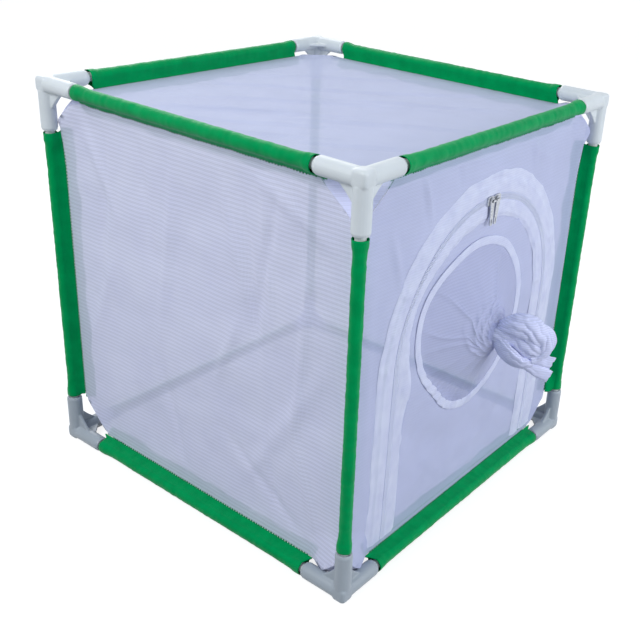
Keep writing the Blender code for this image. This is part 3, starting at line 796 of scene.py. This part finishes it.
def funnel():
    """The port's net sleeve: taut creases run from the ring to the twisted throat."""
    rings, around = 90, 360
    points = []
    rim = port_radius - 8.5
    for i in range(rings):
        t = i / (rings - 1)
        radius = rim + (throat_radius - rim) * t
        front = 1.0 + throat_reach * t**1.35
        side = port_side + (throat_side - port_side) * t
        rise = port_height + (throat_height - port_height) * t
        twist = math.radians(16) * t * t + math.radians(70) * smooth((t - 0.66) / 0.34)
        for k in range(around):
            angle = 2 * pi * k / around
            x, y = math.cos(angle), math.sin(angle)
            h = 0.0
            for place, height, width in funnel_creases:
                bent = place + 9 * rough(place * 3.0, t * 60, 5.0, 45)
                away = (math.degrees(angle) - bent + 180) % 360 - 180
                spread = width * (0.7 + 0.9 * t)
                h += height * math.exp(-abs(away / spread) ** 1.3)
            h -= 1.2
            h *= math.sin(pi * min(1.0, t * 1.05 + 0.04)) ** 0.7 if t < 0.99 else 0.0
            h += 2.0 * rough(radius * x, radius * y, 2, 34) * smooth(t / 0.08) * (1 - t)
            swirl = smooth((t - 0.56) / 0.2) * (1 - 0.6 * smooth((t - 0.93) / 0.07))
            wind = 1.5 * angle + 8.0 * math.log(radius / throat_radius)
            wind += 0.9 * rough(x * 30, y * 30, 8.0, 20)
            h += 1.9 * swirl * (1 - abs(math.sin(wind))) ** 1.1
            lower = max(0.0, math.cos(angle - math.radians(247))) ** 6
            pleat = 1.3 * lower * math.cos(54 * angle) * smooth(t / 0.02)
            h += pleat * (1 - smooth((t - 0.04) / 0.22))
            spread = radius + 0.3 * swirl * math.sin(19 * angle)
            a = angle + twist
            points.append(
                on_door(
                    side + spread * math.cos(a) + 0.2 * h * math.cos(a),
                    front + h * 0.85,
                    rise + spread * math.sin(a) + 0.2 * h * math.sin(a),
                )
            )
    made = make("port_sleeve", points, grid_faces(rings, around, True), sleeve_net)
    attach(made, "door")
    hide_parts("port_sleeve")


funnel()


# Knot: a pleated roll of the sleeve that loops over itself
def spline(points, count):
    """Points along a smooth curve through the given ones."""
    out = []
    last = len(points) - 1
    for i in range(last):
        p0, p1, p2, p3 = (points[max(0, min(last, i + k))] for k in (-1, 0, 1, 2))
        for j in range(count):
            t = j / count
            out.append(
                0.5
                * (
                    2 * p1
                    + (p2 - p0) * t
                    + (2 * p0 - 5 * p1 + 4 * p2 - p3) * t * t
                    + (3 * p1 - p0 - 3 * p2 + p3) * t**3
                )
            )
    out.append(points[-1])
    return out


def roll(name, route, widths, thicks, pleats, seed, depth, twist, steps=16, around=96, ragged=0.0):
    """A roll of pleated cloth swept along a route in the door's frame."""
    path = spline([Vector(p) for p in route], steps)
    wide = spline([Vector((w, t, 0)) for w, t in zip(widths, thicks)], steps)
    points = []
    side = Vector((0, 0, 1))
    for i, spot in enumerate(path):
        ahead = (path[min(i + 1, len(path) - 1)] - path[max(i - 1, 0)]).normalized()
        side = (side - ahead * side.dot(ahead)).normalized()
        across = ahead.cross(side)
        half_wide, half_thick = wide[i].x / 2, wide[i].y / 2
        end = i == len(path) - 1
        share = i / (len(path) - 1)
        for k in range(around):
            angle = 2 * pi * k / around
            turned = angle + twist * share
            x, y = math.cos(turned), math.sin(turned)
            wander = 0.5 * rough(x * 20, y * 20, i * 1.5 + seed * 50, 16)
            ripple = abs(math.cos(pleats / 2 * turned + 3 * wander)) ** 0.6 - 0.62
            ripple *= 0.6 + 0.8 * abs(rough(turned * 9, i * 1.1, seed * 17.0, 12))
            x, y = math.cos(angle), math.sin(angle)
            lump = 0.5 * rough(x * 14, y * 14, i * 1.6 + seed * 31, 13)
            grow = 1 + 2.2 * depth * ripple + depth * lump
            out = side * half_wide * grow * x + across * half_thick * grow * y
            jag = ahead * ragged * rough(k * 3.0, seed * 5.0, 0, 8) if end else Vector()
            p = spot + out + jag
            points.append(on_door(p.x, p.y, p.z))
    faces = grid_faces(len(path), around, True)
    faces.append(tuple(range(around))[::-1])
    last = (len(path) - 1) * around
    faces.append(tuple(last + k for k in range(around)))
    made = make(name, points, faces, knot_net)
    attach(made, "door")
    return made


roll(
    "knot_core",
    [(-8, 22, 193), (-6, 31, 192), (2, 43, 190), (8, 54, 187), (12, 64, 184), (14, 72, 182)],
    widths=[16, 20, 25, 30, 28, 16],
    thicks=[15, 19, 23, 28, 26, 14],
    pleats=10,
    seed=3,
    depth=0.09,
    twist=1.5,
)
lobe = roll(
    "knot_lobe",
    [
        (-2, 30, 196), (-3, 38, 201), (0, 47, 204), (5, 56, 203),
        (9, 63, 198), (13, 69, 191), (13, 70, 182), (10, 67, 175),
    ],
    widths=[12, 19, 25, 26, 24, 20, 17, 13],
    thicks=[14, 19, 23, 24, 22, 19, 15, 12],
    pleats=9,
    seed=1,
    depth=0.10,
    twist=2.4,
)
roll(
    "knot_band",
    [(-8, 29, 191), (-10, 36, 184), (-9, 45, 176), (-5, 53, 170), (0, 59, 168), (7, 63, 167)],
    widths=[13, 18, 21, 19, 15, 12],
    thicks=[8, 10, 11, 10, 9, 8],
    pleats=7,
    seed=2,
    depth=0.10,
    twist=-0.6,
)
roll(
    "knot_curl",
    [
        (2, 59, 209), (10, 67, 206), (17, 73, 199), (19, 75, 190),
        (15, 73, 182), (9, 69, 176), (3, 64, 173),
    ],
    widths=[8, 9, 10, 10, 10, 10, 9],
    thicks=[7, 7.5, 8, 8, 8, 7.5, 7],
    pleats=5,
    seed=6,
    depth=0.12,
    twist=1.0,
)
roll(
    "knot_tail_upper",
    [(6, 62, 170), (13, 68, 168), (20, 72, 166), (26, 76, 164)],
    widths=[10, 13, 15, 15],
    thicks=[7, 6, 4.5, 3.2],
    pleats=5,
    seed=4,
    depth=0.12,
    twist=0.5,
    steps=12,
    around=64,
    ragged=3.0,
)
roll(
    "knot_tail_lower",
    [(2, 60, 166), (9, 66, 161), (16, 71, 156), (23, 77, 151)],
    widths=[9, 12, 13, 13],
    thicks=[6, 5, 4, 3],
    pleats=5,
    seed=5,
    depth=0.12,
    twist=-0.5,
    steps=12,
    around=64,
    ragged=3.0,
)
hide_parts("sleeve_knot")


# Fabric sleeves on the tubes
sleeve_half = 151.5  # from a tube's middle to the mouths of its sleeve
tube_fit = 5.9  # radius of the cloth round a post
flank = math.radians(54)  # where the cloth leaves the tube for the web

# How far the web runs past each mouth, at the low end and the high end
web_ends = {
    "top_front": (21.0, 3.0),
    "top_left": (8.0, 3.0),
    "top_back": (-3.0, 0.0),
    "top_right": (3.0, -2.0),
    "bottom_left": (3.5, 7.0),
    "bottom_front": (5.0, 8.0),
    "post_front_right": (0.0, 2.0),
    "post_back_left": (0.0, 3.0),
}


def seam_sway(s, seed):
    """How far the seam wanders to its side."""
    return 0.5 * rough(s, 0, seed * 3.0, 16) + 0.35 * rough(s, 5, seed * 9.0, 5)


def flap_turn(s):
    """How far a loose end has turned aside: 1 at the sleeve's low mouth."""
    return 1 - smooth((s + sleeve_half) / 22)


def tunnel(name, axis, seed, flap, spot, seam):
    """Green cloth round over the tube, then two layers sewn flat down to the seam."""
    low_end, high_end = web_ends.get(name.removeprefix("sleeve_"), (2.0, 2.0))
    round_radius = tube_fit + (0.5 if axis != 2 else 0.0)
    web_section = ((0.72, -1.0), (0.92, -0.7), (1.0, -0.4), (1.0, 0.4), (0.92, 0.7), (0.72, 1.0))
    stations, around = 190, 44
    points = []
    for i in range(stations):
        s = -sleeve_half + 2 * sleeve_half * i / (stations - 1)
        end = sleeve_half - abs(s)
        flare = 1.1 * (1 - smooth(end / 20))
        gather = 0.35 + 0.55 * (1 - smooth(end / 40))
        hem = 0.22 * smooth((9.5 - end) / 1.4)
        reach = seam(s, flap)
        section = []
        for k in range(around):
            t = k / (around - 1)
            angle = flank + (2 * pi - 2 * flank) * t
            wrinkle = gather * rough(s, t * 60, seed * 41.0, 13)
            wrinkle += 0.4 * rough(s * 2.4, t * 25, seed * 7.0, 11)
            radius = round_radius + flare + hem + wrinkle * 0.8
            section.append((radius * math.cos(angle), radius * math.sin(angle)))
        sway = seam_sway(s, seed)
        for a, b in web_section:
            section.append((reach * a, b * (1 + 0.4 * hem) + sway))
        for a, b in section:
            b += flap * 2.7 * flap_turn(s) * smooth((a - 5) / 7)
            tip = (low_end if s < 0 else high_end) * smooth((a - 7.0) / 5) * smooth(1 - end / 40)
            points.append(spot(s + math.copysign(1, s) * tip, a, b))
    columns = around + len(web_section)
    made = make(name, points, grid_faces(stations, columns, True), green_cloth)
    thick = made.modifiers.new("cloth", "SOLIDIFY")
    thick.thickness = 0.35 * mm
    thick.offset = -1
    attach(made, "cage")
    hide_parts(name)


def stitches(name, seed, flap, spot, seam):
    """Overlock stitches that bite over the seam, one tooth for every few millimetres."""
    pitch, margin = 3.4, 3
    half_length, half_width, slant = 0.7, 0.85, 0.5
    teeth, boxes = [], []
    for i in range(int((2 * sleeve_half - 2 * margin) / pitch)):
        s = -sleeve_half + margin + i * pitch
        reach = seam(s, flap)
        b = seam_sway(s, seed)
        b += flap * 2.7 * flap_turn(s)
        first = len(teeth)
        for over, far in ((-0.9, 0.0), (1.0, slant)):
            for c, d in square:
                teeth.append(spot(s + c * half_length + far, reach + over, b + d * half_width))
        for k in range(4):
            n = (k + 1) % 4
            boxes.append((first + k, first + n, first + n + 4, first + k + 4))
        boxes.append(tuple(first + k for k in (3, 2, 1, 0)))
        boxes.append(tuple(first + 4 + k for k in range(4)))
    made = make(f"{name}_stitches", teeth, boxes, stitch_thread, True)
    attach(made, "cage")


def raw_edge(name, seed, spot, seam):
    """The cloth's raw edge, which lies inside the bag and shows through the net."""
    rows, across = 120, 6
    inner_half = 156.0
    strip_cut = 10.5
    points = []
    for i in range(rows):
        s = -inner_half + 2 * inner_half * i / (rows - 1)
        reach = seam(s, 0.0)
        depth = strip_cut + 3.2 * rough(s, 0, seed * 19.0, 32) + 1.0 * rough(s, 0, seed * 37.0, 7)
        for k in range(across):
            t = k / (across - 1)
            sway = t * (1.5 * rough(s, 0, seed * 23.0, 30) + 0.4 * rough(s, 0, seed * 29.0, 8))
            points.append(spot(s, reach + 0.3 + depth * t, sway))
    edge = make(f"{name}_edge", points, grid_faces(rows, across), green_cloth)
    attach(edge, "cage")


def sleeve(name, axis, u_sign, v_sign, seed):
    """The cloth on one tube: along the axis, and from the tube in to the seam with the net."""
    way = Vector([1.0 if k == axis else 0.0 for k in range(3)])
    others = [k for k in range(3) if k != axis]
    inward = Vector((0, 0, 0))
    inward[others[0]], inward[others[1]] = -u_sign, -v_sign
    middle = -inward * axis_half
    tip_reach = 12.45
    if axis != 2 and v_sign > 0:
        # The webs of the upper tubes hang down
        inward[others[0]], inward[2] = -u_sign * 5.9, -11.9
        tip_reach = 13.3
    inward.normalize()
    third = way.cross(inward)
    flap = 4.0 if name == "sleeve_post_front_right" else 0.0

    def spot(s, a, b):
        return at(*(middle + way * s + inward * a + third * b))

    def seam(s, loose):
        reach = tip_reach + loose * (1 - smooth((s + sleeve_half) / 34))
        if axis == 2:
            reach -= upper_pull(s) * math.sqrt(2) * 0.9
        return reach

    tunnel(name, axis, seed, flap, spot, seam)
    stitches(name, seed, flap, spot, seam)
    raw_edge(name, seed, spot, seam)


def refinish(name, finish):
    """Give a piece of the frame its finish."""
    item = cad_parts[name]
    item.data.materials.clear()
    item.data.materials.append(finish)
    return item


runs = []
for level, up in levels.items():
    runs += [(f"{level}_{depth}", 0, back, up) for depth, back in depths.items()]
    runs += [(f"{level}_{side}", 1, right, up) for side, right in sides.items()]
for depth, back in depths.items():
    runs += [(f"post_{depth}_{side}", 2, right, back) for side, right in sides.items()]
for seed, (name, axis, u_sign, v_sign) in enumerate(runs, start=1):
    sleeve(f"sleeve_{name}", axis, u_sign, v_sign, seed)
    refinish(f"tube_{name}", tube_plastic)


# Corner fittings
def soft_copy(name, finish):
    """A copy of the CAD solid, with its edges softened."""
    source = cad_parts[name]
    made = bpy.data.objects.new(f"{name}_skin", source.data.copy())
    bpy.context.scene.collection.objects.link(made)
    made.matrix_world = source.matrix_world.copy()
    remesh = made.modifiers.new("remesh", "REMESH")
    remesh.mode = "VOXEL"
    remesh.voxel_size = 0.55 * mm
    soften = made.modifiers.new("soften", "SMOOTH")
    soften.factor = 0.5
    soften.iterations = 8
    bpy.context.view_layer.update()
    seen = made.evaluated_get(bpy.context.evaluated_depsgraph_get())
    skin = bpy.data.meshes.new_from_object(seen)
    made.modifiers.clear()
    made.data = skin
    skin.materials.clear()
    skin.materials.append(finish)
    skin.shade_smooth()
    return made


for level in levels:
    for depth in depths:
        for side in sides:
            name = f"corner_{level}_{depth}_{side}"
            # The lower fittings take the darker copy of the plastic: painted shade.
            skin = soft_copy(name, fitting_plastic if level == "top" else fitting_plastic_painted_shade)
            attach(skin, "cage")
            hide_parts(name)

# Sliders and pulls
for name in ("slider_left", "slider_right", "pull_left", "pull_right"):
    edge = refinish(name, slider_metal).modifiers.new("edge", "BEVEL")
    edge.width = 0.3 * mm
    edge.segments = 2
    edge.limit_method = "ANGLE"

# Floor, light and camera
floor_half = 6.0  # metres
floor = make(
    "floor",
    [(floor_half * x, floor_half * y, 0) for x, y in square],
    [(0, 1, 2, 3)],
    start_material("floor_paper", (0.25, 0.255, 0.265), 0.9)[0],
    True,
)


def shown_to(nodes, links):
    """1 for the rays that look at the background: from the camera, mirrored, or sent through."""
    path = node(nodes, "ShaderNodeLightPath").outputs
    direct = combined(nodes, links, "MAXIMUM", path["Is Camera Ray"], path["Is Glossy Ray"])
    return combined(nodes, links, "MAXIMUM", direct, path["Is Transmission Ray"])


def white_to_camera(made):
    """The floor looks pure white where the object's shadow doesn't fall."""
    nodes, links = made.node_tree.nodes, made.node_tree.links
    shader = nodes["Principled BSDF"]
    output = nodes["Material Output"]
    glow = node(nodes, "ShaderNodeEmission", Color=(1, 1, 1, 1), Strength=0.85)
    add = node(nodes, "ShaderNodeAddShader")
    choose = node(nodes, "ShaderNodeMixShader")
    seen = shown_to(nodes, links)
    links.new(shader.outputs[0], add.inputs[0])
    links.new(glow.outputs[0], add.inputs[1])
    links.new(seen, choose.inputs["Fac"])
    links.new(shader.outputs[0], choose.inputs[1])
    links.new(add.outputs[0], choose.inputs[2])
    links.new(choose.outputs[0], output.inputs["Surface"])


white_to_camera(floor.data.materials[0])


def studio_world():
    """Soft blue light from all round, and pure white where the background is looked at."""
    world = bpy.data.worlds.new("studio")
    bpy.context.scene.world = world
    world.use_nodes = True
    nodes, links = world.node_tree.nodes, world.node_tree.links
    background = settle(nodes["Background"], Color=(0.76, 0.87, 1.0, 1), Strength=0.50)
    white = node(nodes, "ShaderNodeBackground", Color=(1, 1, 1, 1), Strength=1.0)
    seen = shown_to(nodes, links)
    choose = node(nodes, "ShaderNodeMixShader")
    links.new(seen, choose.inputs["Fac"])
    links.new(background.outputs[0], choose.inputs[1])
    links.new(white.outputs[0], choose.inputs[2])
    links.new(choose.outputs[0], nodes["World Output"].inputs["Surface"])


studio_world()


def lamp(name, place, size, power, colour=(1, 1, 1)):
    data = bpy.data.lights.new(name, "AREA")
    data.shape = "DISK"
    data.size = size
    data.energy = power
    data.color = colour
    made = bpy.data.objects.new(name, data)
    bpy.context.scene.collection.objects.link(made)
    made.location = place
    way = centre - Vector(place)
    made.rotation_euler = way.to_track_quat("-Z", "Y").to_euler()


lamp("key", (-1.15, 0.15, 1.2), 0.8, 10.0)
lamp("fill", (0.26, -1.35, 0.58), 1.0, 10.0, (0.95, 0.97, 1.0))
lamp("rim", (0.8, 1.3, 1.2), 1.2, 10)


def photo_camera():
    """The camera that the photograph's tube axes fit, in pixels, degrees and millimetres."""
    photo_side, sensor = 640, 36
    focal, cx, cy = 935.2, 383.3, 296.3
    azimuth, elevation, roll_angle = (math.radians(a) for a in (-53.76, 24.79, 3.72))
    away, over, above = 1037.6, 61.85, -26.99
    back = Vector(
        (
            math.sin(azimuth) * math.cos(elevation),
            -math.cos(azimuth) * math.cos(elevation),
            math.sin(elevation),
        )
    )
    right = Vector((0, 0, 1)).cross(back).normalized()
    upward = back.cross(right)
    c, s = math.cos(roll_angle), math.sin(roll_angle)
    right, upward = right * c + upward * s, upward * c - right * s
    data = bpy.data.cameras.new("photo")
    data.sensor_width = sensor
    data.lens = focal / photo_side * sensor
    data.shift_x = (photo_side / 2 - cx) / photo_side
    data.shift_y = (cy - photo_side / 2) / photo_side
    made = bpy.data.objects.new("photo", data)
    bpy.context.scene.collection.objects.link(made)
    turn = Matrix((right, upward, back)).transposed().to_4x4()
    place = centre + (back * away + right * over + upward * above) * mm
    made.matrix_world = Matrix.Translation(place) @ turn
    bpy.context.scene.camera = made


photo_camera()
bpy.context.scene.view_settings.view_transform = "Standard"
